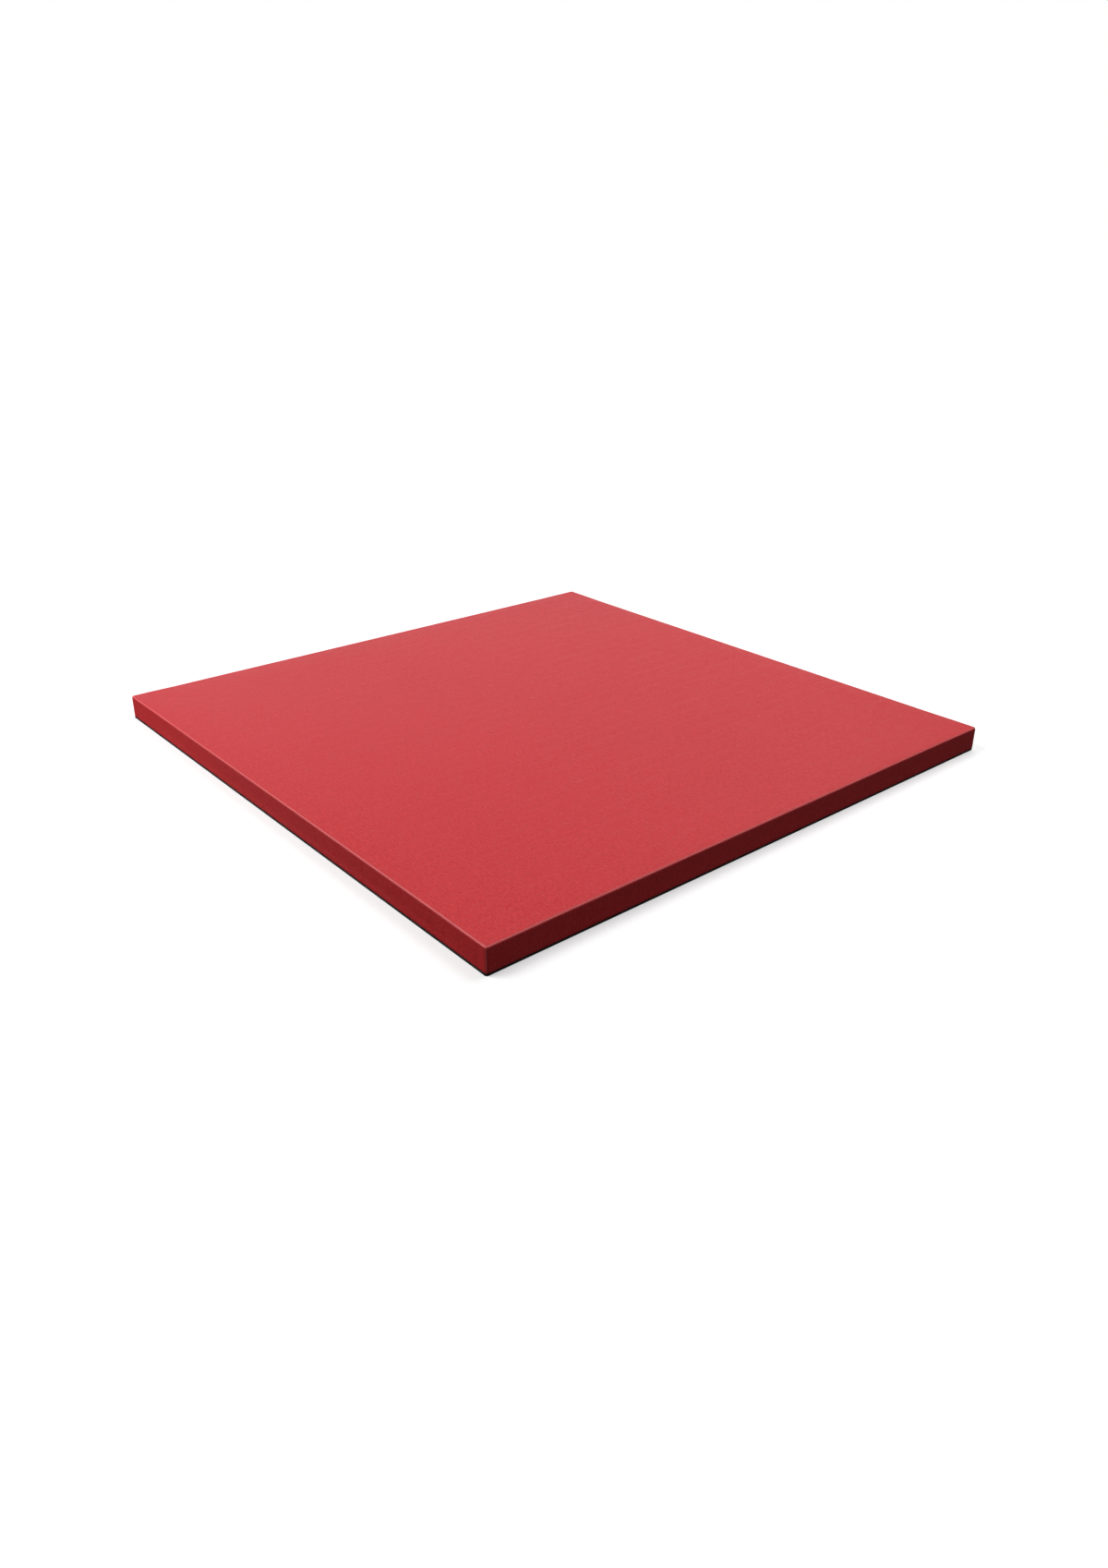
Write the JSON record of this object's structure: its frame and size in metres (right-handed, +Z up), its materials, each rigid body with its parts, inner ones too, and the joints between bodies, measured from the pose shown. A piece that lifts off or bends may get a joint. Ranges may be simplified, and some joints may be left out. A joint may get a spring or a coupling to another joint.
{
  "type": "landing mat",
  "caption": "Thin square floor mat for landings and break-falls: a firm foam slab in a zipped red vinyl cover with a rice-straw emboss, on a black anti-slip base.",
  "frame": {"origin": "centre of the mat's underside, on the floor", "axes": "+Z up, +X to the right and +Y to the back as seen from the front wall; the zip is in the back wall, which faces +Y"},
  "size_m": [1, 1.0056, 0.04],
  "materials": {
    "red_vinyl": "satin",
    "black_rubber": "matte",
    "rebonded_foam": "matte",
    "vinyl_backing": "matte",
    "zip_tape": "matte",
    "zip_coil": "satin",
    "zip_stop": "satin",
    "slider_metal": "satin"
  },
  "bodies": {
    "mat": {"tatami_cover": "red_vinyl", "anti_slip_base": "black_rubber", "foam_core": "rebonded_foam", "corner_patch_front_left": "vinyl_backing", "corner_patch_front_right": "vinyl_backing", "corner_patch_back_left": "vinyl_backing", "corner_patch_back_right": "vinyl_backing", "zip_tape_upper": "zip_tape", "zip_tape_lower": "zip_tape", "zip_coil_upper": "zip_coil", "zip_coil_lower": "zip_coil", "zip_top_stop_upper": "zip_stop", "zip_top_stop_lower": "zip_stop", "zip_bottom_stop": "zip_stop", "zip_end_patch_left": "red_vinyl", "zip_end_patch_right": "red_vinyl"},
    "slider": {"zip_slider": "slider_metal"},
    "pull_tab": {"zip_pull_tab": "slider_metal"}
  },
  "joints": [
    {"name": "zip_travel", "type": "slide", "parent": "mat", "child": "slider", "axis": [1, 0, 0], "range_m": [0, 0.925]},
    {"name": "tab_hinge", "type": "hinge", "parent": "slider", "child": "pull_tab", "pos_m": [-0.4635, 0.50385, 0.0205], "axis": [0, 0, 1], "range_deg": [0, 180]}
  ]
}
